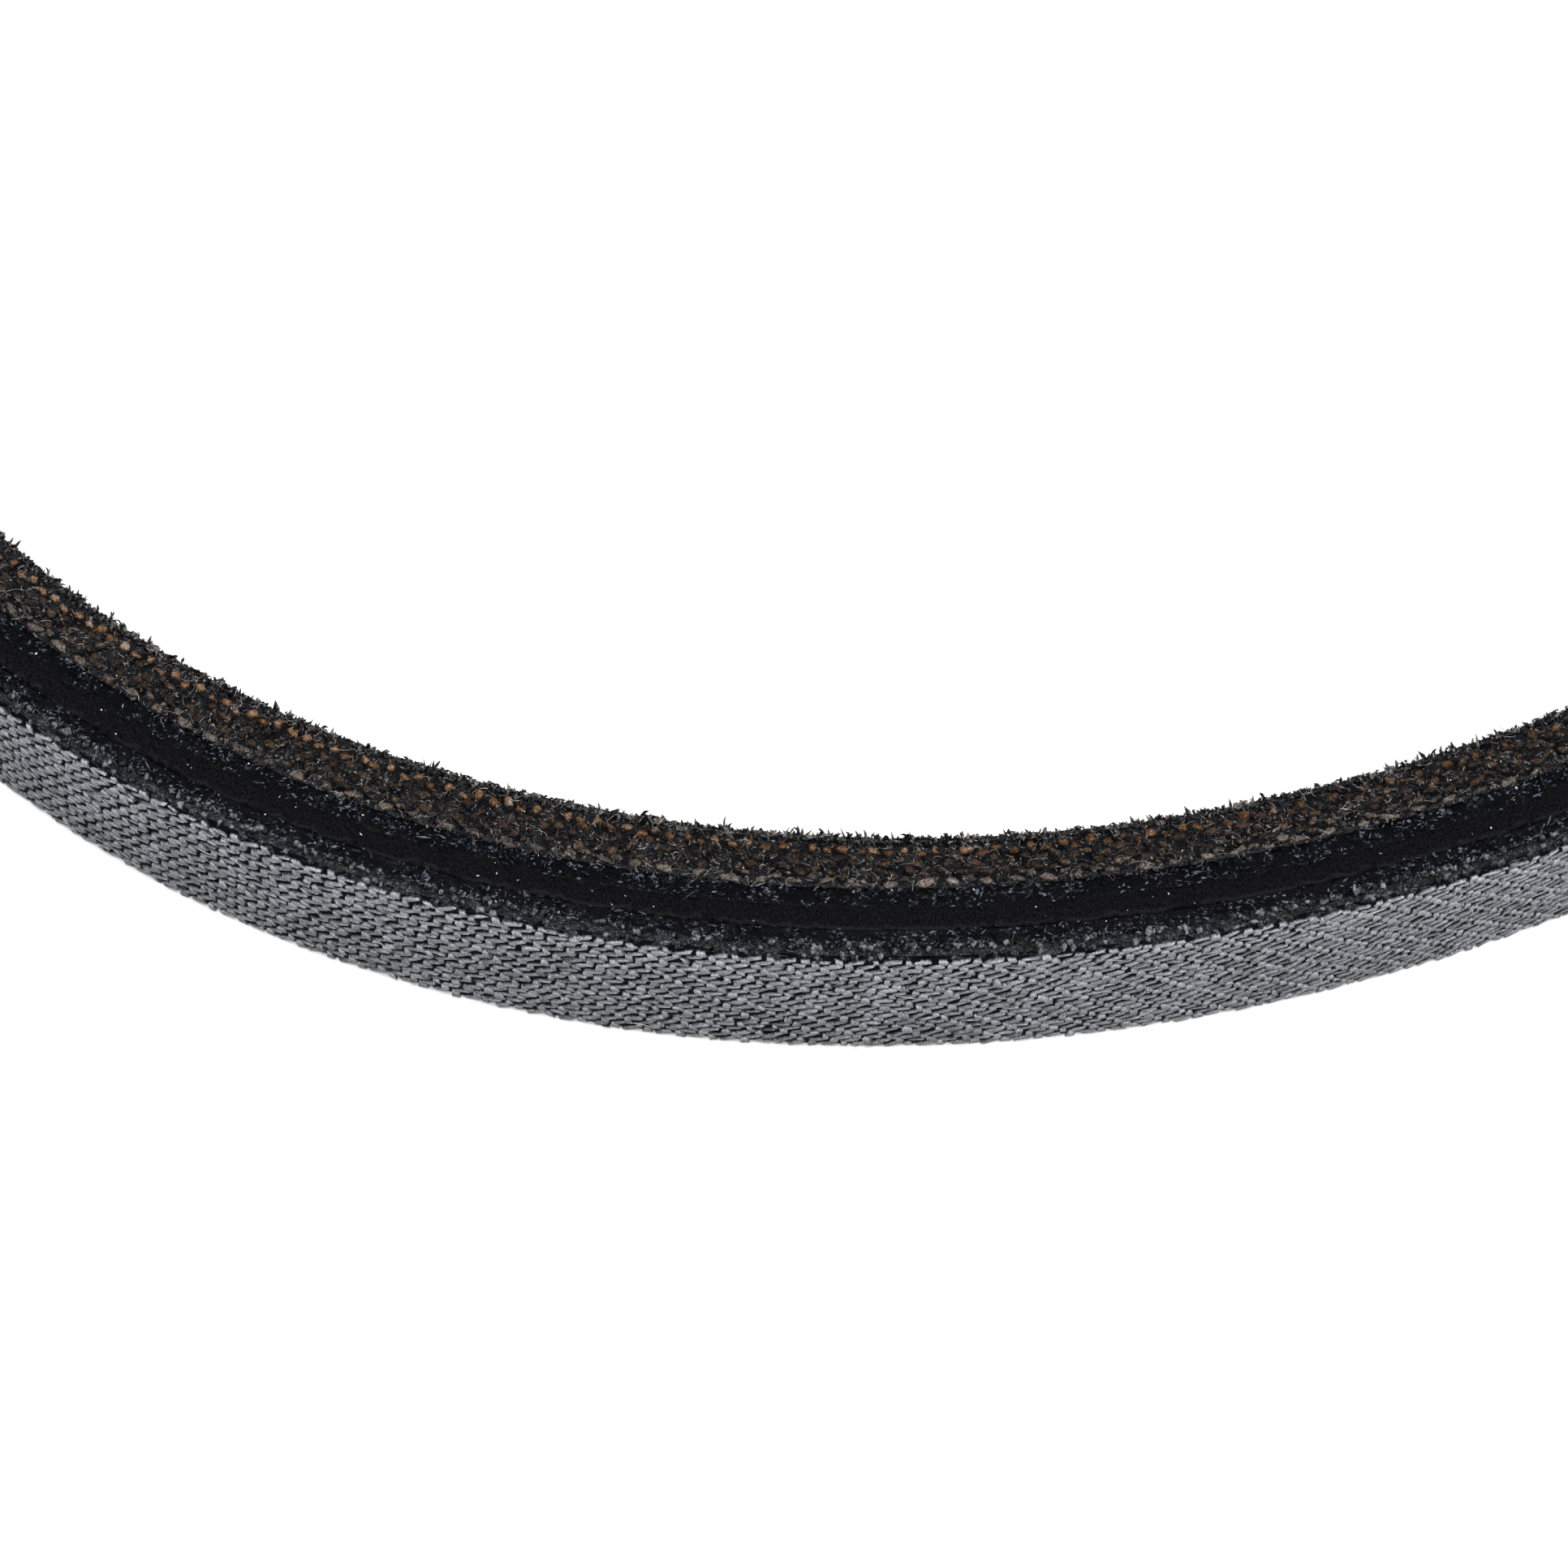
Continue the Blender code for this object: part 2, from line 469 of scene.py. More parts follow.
def new_material(name):
    """A node material with its tree, the piece's own coordinates in metres and its stored tone."""
    material = bpy.data.materials.new(name)
    material.use_nodes = True
    tree = material.node_tree
    place = add_node(tree, "TexCoord", output="Object")
    tone = add_node(tree, "Attribute", {"attribute_name": "tone"}, output="Fac")
    return material, tree, place, tone


def add_node(tree, kind, settings=None, links=None, output=0):
    """Adds a node; settings are its own properties or unlinked sockets, links its inputs.

    Returns the output of this name or number.
    """
    made = tree.nodes.new("ShaderNode" + kind)
    for key, value in (settings or {}).items():
        if isinstance(key, str) and hasattr(made, key):
            setattr(made, key, value)
        else:
            made.inputs[key].default_value = value
    for key, source in (links or {}).items():
        tree.links.new(source, made.inputs[key])
    return made.outputs[output]


def shade(colour, factor):
    """A colour made darker or lighter."""
    return [min(channel * factor, 1.0) for channel in colour]


def mixed(tree, start, *parts):
    """The sum of patterns, each with its share, and a number that shifts it; a socket."""
    level = start
    for pattern, share, shift in parts:
        scaled = add_node(tree, "Math", {"operation": "MULTIPLY_ADD", 1: share},
                          {0: pattern, 2: level})
        level = add_node(tree, "Math", {"operation": "ADD", 1: shift}, {0: scaled})
    return level


def lint_lines(tree, place, spacing, thickness):
    """Thin curling lines, 1 on a line and 0 off it, like lint pressed into a surface."""
    swirl = add_node(tree, "TexNoise", {"Scale": 1.0 / spacing, "Detail": 1.0, "Distortion": 1.2},
                     {"Vector": place})
    off = add_node(tree, "Math", {"operation": "SUBTRACT", 1: 0.5}, {0: swirl})
    away = add_node(tree, "Math", {"operation": "ABSOLUTE"}, {0: off})
    return add_node(tree, "MapRange", {"From Max": thickness, "To Min": 1.0, "To Max": 0.0},
                    {"Value": away})


def finish_stock(tree, level, stops, rough, height, bump, depth, specular):
    """Gives a stock its colours along the level, and roughness and relief from its height.

    Without a bump it is flat and evenly rough.
    """
    shader = tree.nodes["Principled BSDF"]
    ramp = add_node(tree, "ValToRGB", None, {"Fac": level})
    elements = ramp.node.color_ramp.elements
    while len(elements) < len(stops):
        elements.new(0.5)
    for element, (place, colour) in zip(elements, stops):
        element.position = place
        element.color = (*colour, 1.0)
    tree.links.new(ramp, shader.inputs["Base Color"])
    shader.inputs["Specular IOR Level"].default_value = specular
    shader.inputs["Roughness"].default_value = rough[0]
    if bump:
        gloss = add_node(tree, "MapRange", {"To Min": rough[0], "To Max": rough[1]},
                         {"Value": height})
        tree.links.new(gloss, shader.inputs["Roughness"])
        relief = add_node(tree, "Bump", {"Strength": bump, "Distance": depth * MM},
                          {"Height": height})
        tree.links.new(relief, shader.inputs["Normal"])


def back_canvas_material():
    """Rubbered canvas, moulded flat: grey floats with a dull polish and fine yarn streaks.

    Its cotton fibres are 0.02 mm thick; the streaks are drawn 0.05 mm wide, so that they show.
    """
    colours = bpy.context.scene.belt_colours
    material, tree, place, tone = new_material("moulded_rubbered_canvas")
    yarn = add_node(tree, "Attribute", {"attribute_name": "yarn"}, output="Vector")
    long = add_node(tree, "Mapping", {"Scale": (0.18, 1.0, 1.0)}, {"Vector": yarn})
    streaks = add_node(tree, "TexNoise", {"Scale": 1.0 / (0.05 * MM), "Roughness": 0.6},
                       {"Vector": long})
    grain = add_node(tree, "TexNoise", {"Scale": 1.0 / (0.09 * MM)}, {"Vector": place})
    mottle = add_node(tree, "TexNoise", {"Scale": 1.0 / (2.2 * MM)}, {"Vector": place})
    level = mixed(tree, tone, (streaks, 1.20, -1.40), (grain, 1.35, 0.0), (mottle, 0.25, 0.0))
    # The stored tone carries painted light into these stops: the floats' painted highlights reach the
    # lighter canvas colour and past it, and their feet, painted dark as rubber and shade, fall to the
    # rubber black.
    stops = ((0.0, shade(colours.rubber, 0.6)), (0.28, shade(colours.canvas, 0.45)),
             (0.55, colours.canvas), (0.80, colours.canvas_worn),
             (1.0, shade(colours.canvas_worn, 1.8)))
    height = mixed(tree, grain, (streaks, 0.6, 0.0))
    finish_stock(tree, level, stops, (0.35, 0.58), height, 0.9, 0.06, 0.35)
    return material


def grained_material(name, grain, share, shift, stops, rough, bump, depth, specular,
                     lint=(1.0, 0.0, 0.0)):
    """A stock coloured by its stored tone and one grain, with lint of this spacing on it.

    share and shift weigh the grain; lint is its lines' spacing, their thickness and their share.
    """
    material, tree, place, tone = new_material(name)
    noise = add_node(tree, "TexNoise", grain, {"Vector": place})
    parts = [(noise, share, shift)]
    if lint[2]:
        parts.append((lint_lines(tree, place, lint[0], lint[1]), lint[2], 0.0))
    finish_stock(tree, mixed(tree, tone, *parts), stops, rough, noise, bump, depth, specular)
    return material


def back_bed_material():
    """Friction rubber calendered between the threads: black and dull, with a 0.1 mm grain."""
    rubber = bpy.context.scene.belt_colours.rubber
    stops = ((0.3, shade(rubber, 0.25)), (0.8, shade(rubber, 0.7)))
    return grained_material("calendered_friction_rubber", {"Scale": 1.0 / (0.1 * MM)}, 1.0, 0.0,
                            stops, (0.8, 1.0), 0.3, 0.03, 0.05)


def cut_canvas_material():
    """Ground edge of cotton canvas: grey lint in 0.16 mm clumps, packed with rubber dust."""
    colours = bpy.context.scene.belt_colours
    stops = ((0.0, shade(colours.rubber, 0.5)), (0.35, shade(colours.fuzz, 0.12)),
             (0.65, shade(colours.fuzz, 0.6)), (1.0, shade(colours.fuzz, 1.8)))
    clumps = {"Scale": 1.0 / (0.16 * MM), "Detail": 4.0, "Roughness": 0.7}
    return grained_material("ground_cotton_canvas_edge", clumps, 2.0, -1.08, stops, (0.6, 0.95),
                            0.8, 0.08, 0.2, (0.26 * MM, 0.05, 0.5))


def ground_rubber_material(name, bloom_and_glint, body, specular, gloss):
    """Ground rubber: black, with lighter granules of its own 0.13 mm crumb; the brightest of them are
    painted glints.
    """
    rubber = bpy.context.scene.belt_colours.rubber
    material, tree, place, tone = new_material(name)
    warp = add_node(tree, "TexNoise", {"Scale": 1.0 / (0.2 * MM)}, {"Vector": place}, "Color")
    bent = add_node(tree, "VectorMath", {"operation": "MULTIPLY_ADD", 1: [0.15 * MM] * 3},
                    {0: warp, 2: place})
    cell = add_node(tree, "TexVoronoi", {"Scale": 1.0 / (0.13 * MM)}, {"Vector": bent})
    pick = add_node(tree, "SeparateColor", None, {"Color": cell.node.outputs["Color"]})
    rare = add_node(tree, "Math", {"operation": "POWER", 1: 5.0}, {0: pick})
    where = add_node(tree, "MapRange", {"From Min": 0.10, "From Max": 0.30, "To Max": 1.0},
                     {"Value": tone})
    flecks = add_node(tree, "Math", {"operation": "MULTIPLY"}, {0: rare, 1: where})
    grit = add_node(tree, "TexNoise", {"Scale": 1.0 / (0.09 * MM), "Detail": 3.0,
                    "Roughness": 0.7}, {"Vector": place})
    level = mixed(tree, tone, (grit, 1.5, -0.75), (flecks, 1.0, 0.0))
    height = mixed(tree, grit, (cell, -0.7, 0.0))
    # The top stop, twice the granule colour, is painted glint on the granules, crumbs and shavings.
    stops = ((0.0, shade(rubber, 0.5 * body)), (0.45, shade(rubber, body)),
             (0.75, shade(bloom_and_glint, 0.6)), (1.0, shade(bloom_and_glint, 2.1)))
    finish_stock(tree, level, stops, gloss, height, 0.8, 0.06, specular)
    return material


def torn_rubber_material(part):
    """Rubber torn out with the cotton it holds: browner than the gums and more polished."""
    torn = bpy.context.scene.belt_colours.torn
    return ground_rubber_material("torn_" + part + "_rubber", torn, 0.4, 0.25, (0.25, 0.6))


def cord_side_material():
    """Cut polyester cord dipped in rubber: near black, smooth, with fine steep strands.

    Its filaments are 0.02 mm thick; the strands are drawn 0.10 mm wide, so that they show.
    """
    cord = bpy.context.scene.belt_colours.cord
    material, tree, _, _ = new_material("cut_dipped_polyester_cord")
    along = add_node(tree, "UVMap", {"uv_map": "UVMap"})
    slant = add_node(tree, "Mapping", {"Rotation": (0.0, 0.0, math.radians(14.0)),
                     "Scale": (1.0, 0.12, 1.0)}, {"Vector": along})
    strands = add_node(tree, "TexNoise", {"Scale": 1.0 / (0.10 * MM)}, {"Vector": slant})
    stops = ((0.35, shade(cord, 0.15)), (0.7, shade(cord, 1.5)))
    finish_stock(tree, strands, stops, (0.45, 0.7), strands, 0.5, 0.03, 0.06)
    return material


def yarn_end_material(name, colour):
    """Cut cotton yarn end, dipped in resin: fibrous, rubber-stained between its fibres.

    The fibres are 0.02 mm thick; they are drawn as 0.12 mm bundles, so that they show.
    """
    colours = bpy.context.scene.belt_colours
    stops = ((0.0, shade(colours.rubber, 0.5)), (0.3, shade(colour, 0.14)), (0.6, shade(colour, 0.7)),
             (0.85, shade(colour, 1.3)), (1.0, shade(colours.fibre, 0.9)))
    fibres = {"Scale": 1.0 / (0.12 * MM), "Detail": 4.0, "Roughness": 0.7, "Distortion": 1.0}
    return grained_material(name, fibres, 2.2, -1.18, stops, (0.6, 0.9), 0.9, 0.08, 0.2,
                            (0.28 * MM, 0.03, 0.35))


def fibre_and_glint_material():
    """Loose cotton fibre: pale and dull, stained dark in 0.25 mm stretches; its near-white top also
    paints the glints of the flank specks.
    """
    colours = bpy.context.scene.belt_colours
    stops = ((0.0, shade(colours.rubber, 1.2)), (0.5, shade(colours.fibre, 0.25)),
             (0.85, shade(colours.fibre, 1.1)), (1.0, shade(colours.fibre, 2.4)))
    return grained_material("loose_cotton_fibre", {"Scale": 1.0 / (0.25 * MM)}, 0.7, -0.35, stops,
                            (0.5, 0.8), 0.1, 0.02, 0.3)


def floor_material():
    """Matt white studio paper with a trace of grain, 25 mm across."""
    stops = ((0.0, (0.90, 0.90, 0.90)), (1.0, (0.93, 0.93, 0.93)))
    return grained_material("matt_white_paper", {"Scale": 1.0 / (25.0 * MM)}, 1.0, 0.0, stops,
                            (0.9, 0.9), 0.0, 0.0, 0.5)


# ---- loose detail

def gathered(count, across, grain, draw):
    """Run and across of the best of these candidates, so that they gather in patches."""
    run = draw.uniform(0.0, LENGTH, len(across))
    liking = smooth_noise(run, across, grain, draw) + draw.uniform(-0.5, 0.5, len(across))
    best = draw.permutation(np.argsort(-liking)[:count])
    return run[best], across[best]


def crumbs(run, across, size, tones, draw, stretch=2.5, lift=(0.0, 0.05), stray=3.0):
    """Angular crumbs on both flanks at these depths; returns the object."""
    unit = crumb_unit()
    count = len(across)
    points = repeat(unit, count)
    spread = size * draw.lognormal(0.0, 0.35, (count, 3)) * 0.5
    spread[:, 0] *= draw.uniform(1.0, stretch, count)
    points *= spread[:, None, :]
    points = turned(points, draw.normal(0.2, stray, count), draw.normal(0.0, 0.5, count),
                    draw.normal(0.0, 0.8, count))
    lay(unit, points, run, across, draw.uniform(*lift, count) * MM)
    write_tone(unit, tones[0] + (tones[1] - tones[0]) * draw.uniform(0.0, 1.0, count) ** 2)
    return unit


def loose_fibres(run, across, stretch, tones, draw, thickness=1.0, rise=0.22, spread=2.2,
                 face=on_both_flanks, lengths=2):
    """Curled fibres that lie at these places, on both flanks or another face."""
    sizes = bpy.context.scene.belt_flanks
    unit = fibre_unit(lengths)
    count = len(run)
    points = repeat(unit, count)
    along = points[..., 2]
    length = (sizes.fibre_length * stretch * draw.lognormal(0.0, 0.4, count))[:, None]
    radius = (sizes.fibre_radius * thickness * draw.uniform(0.7, 1.4, count))[:, None]
    heading = draw.uniform(0.0, 2.0 * math.pi, count)[:, None]
    curl = draw.normal(0.0, spread, count)[:, None]
    lean = rise * draw.uniform(0.0, 1.0, count)[:, None]
    angle = heading + curl * (along - 0.5)
    chord = heading + curl * (along - 0.5) / 2.0
    flat = np.empty_like(points)
    flat[..., 0] = length * (along - 0.5) * np.cos(chord) - np.sin(angle) * points[..., 0] * radius
    flat[..., 1] = length * (along - 0.5) * np.sin(chord) + np.cos(angle) * points[..., 0] * radius
    flat[..., 2] = points[..., 1] * radius + length * lean * along * (1.6 - along)
    lay(unit, flat, run, across, draw.uniform(0.0, 0.12, count) * MM, face)
    write_tone(unit, draw.uniform(*tones, count))
    unit.data.shade_smooth()
    return unit


def yarn_lumps(run, across, size, rise, tone, draw, face=on_both_flanks):
    """Low fibrous lumps, the cut ends of yarns, on both flanks; returns the object."""
    unit = float_unit(top=0.62, square=False)
    count = len(run)
    points = repeat(unit, count)
    dome = points[..., 2].copy()
    vary = draw.lognormal(0.0, 0.18, (count, 3))
    points[..., 0] *= (size[0] * vary[:, 0])[:, None]
    points[..., 1] *= (size[1] * vary[:, 1])[:, None]
    points[..., 2] = (points[..., 2] - 0.4) * rise * vary[:, 2][:, None]
    points += 0.045 * MM * draw.standard_normal(points.shape)
    points = turned(points, draw.normal(0.0, 0.25, count), draw.normal(0.0, 0.14, count),
                    draw.normal(0.0, 0.14, count))
    lay(unit, points, run, across, draw.uniform(-0.02, 0.05, count) * MM, face)
    write_tone(unit, tone[:, None] - 0.6 * (1.0 - dome))
    unit.data.shade_smooth()
    return unit


# ---- pieces

FLOAT_SAG = 0.05 * MM  # how much lower a float's ends lie than its middle


def laid_floats(places, length, width, angle, tone, draw):
    """Floats of one kind on the back, laid at their places with small differences."""
    sizes = bpy.context.scene.belt_weave
    unit = float_unit()
    count = len(places)
    points = repeat(unit, count)
    x, y, z = points[..., 0].copy(), points[..., 1].copy(), points[..., 2].copy()
    rise = sizes.float_rise * varied(draw, count, 0.10)
    points[..., 2] = z * (rise - FLOAT_SAG * x * x)
    points[..., 0] = x * length / 2.0 * varied(draw, count, 0.07)
    points[..., 1] = y * width / 2.0 * varied(draw, count, 0.12) * (1.0 - 0.22 * x)
    points[..., :2] += 0.045 * MM * draw.standard_normal(points[..., :2].shape)
    yarn = points.copy()
    yarn[..., 2] = draw.uniform(0.0, 100.0, count)[:, None] * MM
    tilt = math.radians(5.0)
    points = turned(points, angle + tilt * draw.standard_normal(count),
                    tilt * draw.standard_normal(count), tilt * draw.standard_normal(count))
    height = (places[:, 1] / WIDTH)[:, None]
    # Random tone per float, plus painted shade from the light above: floats get darker towards the
    # back's lower edge and lighter towards its upper one.
    bright = (tone + 0.07 * draw.standard_normal(count))[:, None] + 0.18 * (height - 0.6)
    # A painted highlight on the top row of floats. Each float's sides are painted dark down to black
    # at its foot, for the rubber between the threads and as painted shade in the slits.
    bright = bright + 0.04 * (height > 1.0 - 1.0 / sizes.rows) - 1.7 * (1.0 - z)
    # Painted light from above: each float is lighter on its upper side and darker on its lower side.
    bright = bright + 0.30 * points[..., 1] / (0.3 * MM)
    points += places[:, None, :]
    foot = 0.04 * MM - 0.16 * MM * draw.uniform(0.0, 1.0, count)[:, None] ** 3
    points[..., 1] = np.clip(points[..., 1], foot, WIDTH - 0.05 * MM)
    write_points(unit, on_back(points))
    write_tone(unit, bright)
    strands = unit.data.attributes.new("yarn", "FLOAT_VECTOR", "POINT")
    strands.data.foreach_set("vector", yarn.astype(np.float32).ravel())
    return unit


def weave_places(offset, draw):
    """Where the floats of one kind lie: rows across the back, each set back from the last."""
    sizes = bpy.context.scene.belt_weave
    step = LENGTH / sizes.repeats
    pitch = WIDTH / sizes.rows
    row, column = np.meshgrid(np.arange(sizes.rows), np.arange(sizes.repeats), indexing="ij")
    run = (column + offset) * step - row * sizes.row_shift
    places = np.stack([run, (row + 0.5) * pitch, np.full(run.shape, -sizes.float_rise)], axis=-1)
    places = places.reshape(-1, 3)
    for axis, stray in enumerate((0.04, 0.02, 0.01)):
        places[:, axis] += stray * MM * draw.standard_normal(len(places))
    return places


class BELT_OT_back_weave(bpy.types.Operator):
    """Lay the canvas floats on the back"""

    bl_idname = "belt.back_weave"
    bl_label = "Back weave"

    def execute(self, context):
        sizes = context.scene.belt_weave
        draw = np.random.default_rng(11)
        finish = back_canvas_material()
        for kind, offset, length, width, angle, tone in (
                ("steep", 0.0, sizes.steep_length, sizes.steep_width, sizes.steep_angle, 0.62),
                ("shallow", 0.5, sizes.shallow_length, sizes.shallow_width, sizes.shallow_angle,
                 0.59)):
            floats = laid_floats(weave_places(offset, draw), length, width, angle, tone, draw)
            hand_over(floats, "back_canvas_" + kind + "_floats", finish, "back_canvas",
                      "back_cover_ply")
        return {"FINISHED"}


class BELT_OT_back_bed(bpy.types.Operator):
    """Model the friction rubber under the canvas floats"""

    bl_idname = "belt.back_bed"
    bl_label = "Back rubber bed"

    def execute(self, context):
        outer, inner = node_depths("back_cover_ply")

        def relief(run, across, draw):
            worn = 0.12 * MM * (across < across.max())
            return 0.03 * MM * smooth_noise(run, across, 0.5 * MM, draw) - worn, 0.0 * run

        start = outer + 0.9 * context.scene.belt_weave.float_rise
        bed = ply_ring(24, start, inner, 2, relief, 2.0)
        hand_over(bed, "back_canvas_rubber_bed", back_bed_material(), "skim_gum", "back_cover_ply")
        return {"FINISHED"}


class BELT_OT_back_edges(bpy.types.Operator):
    """Model the cut edges of the two back plies, with their lint"""

    bl_idname = "belt.back_edges"
    bl_label = "Back ply cut edges"

    def execute(self, context):
        outer = node_depths("back_cover_ply")[0]
        inner = node_depths("back_inner_ply")[1]

        def relief(run, across, draw):
            coarse = smooth_noise(run, across, 0.40 * MM, draw)
            fine = smooth_noise(run, across, 0.22 * MM, draw)
            return 0.06 * MM * (coarse + fine) - 0.08 * MM, 0.20 + 0.14 * coarse + 0.12 * fine

        ring = ply_ring(23, outer + 0.26 * MM, inner + 0.04 * MM, 5, relief)
        draw = np.random.default_rng(23)
        count = 2500
        across = draw.choice([0.38, 0.92], count, p=(0.44, 0.56)) * MM
        across += draw.normal(0.0, 0.10, count) * MM
        size = draw.uniform(0.09, 0.19, (2, count)) * MM
        size[0] *= draw.uniform(1.0, 1.6, count)
        lumps = yarn_lumps(draw.uniform(0.0, LENGTH, count), across, size, 0.28 * MM,
                           draw.uniform(0.30, 0.95, count), draw)
        across = draw.choice([0.40, 0.95], 6000) * MM + draw.normal(0.0, 0.14, 6000) * MM
        run, across = gathered(3300, across, 0.7 * MM, draw)
        lint = loose_fibres(run, across, 0.45, (0.35, 1.0), draw, 1.2, 0.4, 3.0)
        join(ring, lumps, lint)
        hand_over(ring, "back_ply_cut_edges", cut_canvas_material(), "back_edge_canvas",
                  "back_skim_gum", "back_inner_ply")
        return {"FINISHED"}


def finish_gum(ring, node, near, far, fade, tried, kept, stray, stretch, draw):
    """Covers a gum's flanks with crumbs and shavings, densest at the near depth; hands it over."""
    across = near + (far - near) * draw.beta(0.9, fade, tried)
    run, across = gathered(kept, across, 0.8 * MM, draw)
    grains = crumbs(run, across, 0.085 * MM, (0.2, 1.2), draw, 5.0, stray=stray)
    across = near + (far - near) * draw.beta(0.9, fade, 6500)
    run, across = gathered(3200, across, 0.8 * MM, draw)
    shavings = loose_fibres(run, across, stretch, (0.0, 0.9), draw, 2.0, 0.15, 2.0)
    join(ring, grains, shavings)
    finish = ground_rubber_material(
        "ground_" + node.replace("gum", "rubber"), bpy.context.scene.belt_colours.rubber_bloom,
        0.3, 0.09, (0.3, 0.7))
    hand_over(ring, node + "_body", finish, node, node)


class BELT_OT_cushion(bpy.types.Operator):
    """Model the ground flanks of the cushion gum"""

    bl_idname = "belt.cushion"
    bl_label = "Cushion gum"

    def execute(self, context):
        outer, inner = node_depths("cushion_gum")

        def relief(run, across, draw):
            near = np.clip(1.0 - (across - outer) / (inner - outer), 0.0, 1.0)
            fine = smooth_noise(run, across, 0.24 * MM, draw)
            coarse = smooth_noise(run, across, 0.9 * MM, draw)
            tucked = np.clip(1.0 - (across.max() - across) / (0.25 * MM), 0.0, 1.0)
            lift = (0.003 + 0.07 * near) * MM * fine + 0.012 * MM * coarse * near
            lift -= 0.10 * MM * tucked
            return lift, 0.18 + 0.04 * near * near + 0.20 * fine * near + 0.06 * coarse

        ring = ply_ring(22, outer, inner + 0.06 * MM, 6, relief)
        finish_gum(ring, "cushion_gum", outer, inner, 1.2, 16000, 7600, 0.7, 0.38,
                   np.random.default_rng(31))
        return {"FINISHED"}


class BELT_OT_cord_side(bpy.types.Operator):
    """Model the cut side of the cord line"""

    bl_idname = "belt.cord_side"
    bl_label = "Cord side"

    def execute(self, context):
        outer = node_depths("cushion_gum")[1]
        inner = node_depths("adhesion_gum")[0]

        def relief(run, across, draw):
            tucked = np.clip(1.0 - (across - across.min()) / (0.25 * MM), 0.0, 1.0)
            wave = smooth_noise(run, across, 1.4 * MM, draw)
            fine = smooth_noise(run, across, 0.4 * MM, draw)
            lift = -0.06 * MM * tucked + 0.008 * MM * (wave + fine)
            return lift, 0.0 * run

        ring = ply_ring(23, outer - 0.08 * MM, inner + 0.08 * MM, 6, relief, 1.5)
        hand_over(ring, "tensile_cord_side", cord_side_material(), "cord", "tensile_cord")
        return {"FINISHED"}


class BELT_OT_adhesion(bpy.types.Operator):
    """Model the ground flanks of the adhesion gum"""

    bl_idname = "belt.adhesion"
    bl_label = "Adhesion gum"

    def execute(self, context):
        outer, inner = node_depths("adhesion_gum")

        def relief(run, across, draw):
            near = np.clip((across - outer) / (inner - outer), 0.0, 1.0)
            fine = smooth_noise(run, across, 0.24 * MM, draw)
            coarse = smooth_noise(run, across, 1.1 * MM, draw)
            tucked = np.clip(1.0 - (across - across.min()) / (0.22 * MM), 0.0, 1.0)
            lift = (0.008 + 0.06 * near) * MM * fine + 0.012 * MM * coarse - 0.07 * MM * tucked
            return lift, 0.13 + 0.08 * near + 0.18 * fine * near + 0.08 * coarse

        ring = ply_ring(24, outer - 0.06 * MM, inner, 7, relief)
        finish_gum(ring, "adhesion_gum", inner, outer, 1.1, 14000, 6600, 0.5, 0.40,
                   np.random.default_rng(37))
        return {"FINISHED"}


# Yarn ends of each laminate ply: their finish, its colour, their row's shift from the middle of the
# ply, how much brighter they get at the crest of the swell, how high they stand, then two lines of
# ends with their shift, phase, half length, half width and tone. Lengths are millimetres.
YARN_ROWS = (
    ("laminate_ply_1", "taupe", "taupe", 0.01, -0.03, 0.15,
     ((-0.04, 0.0, 0.58, 0.23, 0.66), (0.26, 0.5, 0.36, 0.20, 0.46))),
    ("laminate_ply_2", "brown", "brown", -0.06, -0.08, 0.15,
     ((-0.13, 0.2, 0.42, 0.23, 0.57), (0.15, 0.7, 0.38, 0.22, 0.50))),
    ("laminate_ply_3", "dark", "brown", -0.13, -0.08, 0.15,
     ((-0.14, 0.9, 0.42, 0.23, 0.56), (0.14, 0.4, 0.38, 0.22, 0.50))),
    ("laminate_ply_4", "amber", "amber", -0.18, 0.28, 0.22,
     ((0.03, 0.6, 0.34, 0.28, 0.51), (-0.20, 0.1, 0.42, 0.20, 0.36))),
)
AMBER_LEAD = 18.0 * MM  # how far before the swell's crest the innermost ends are brightest


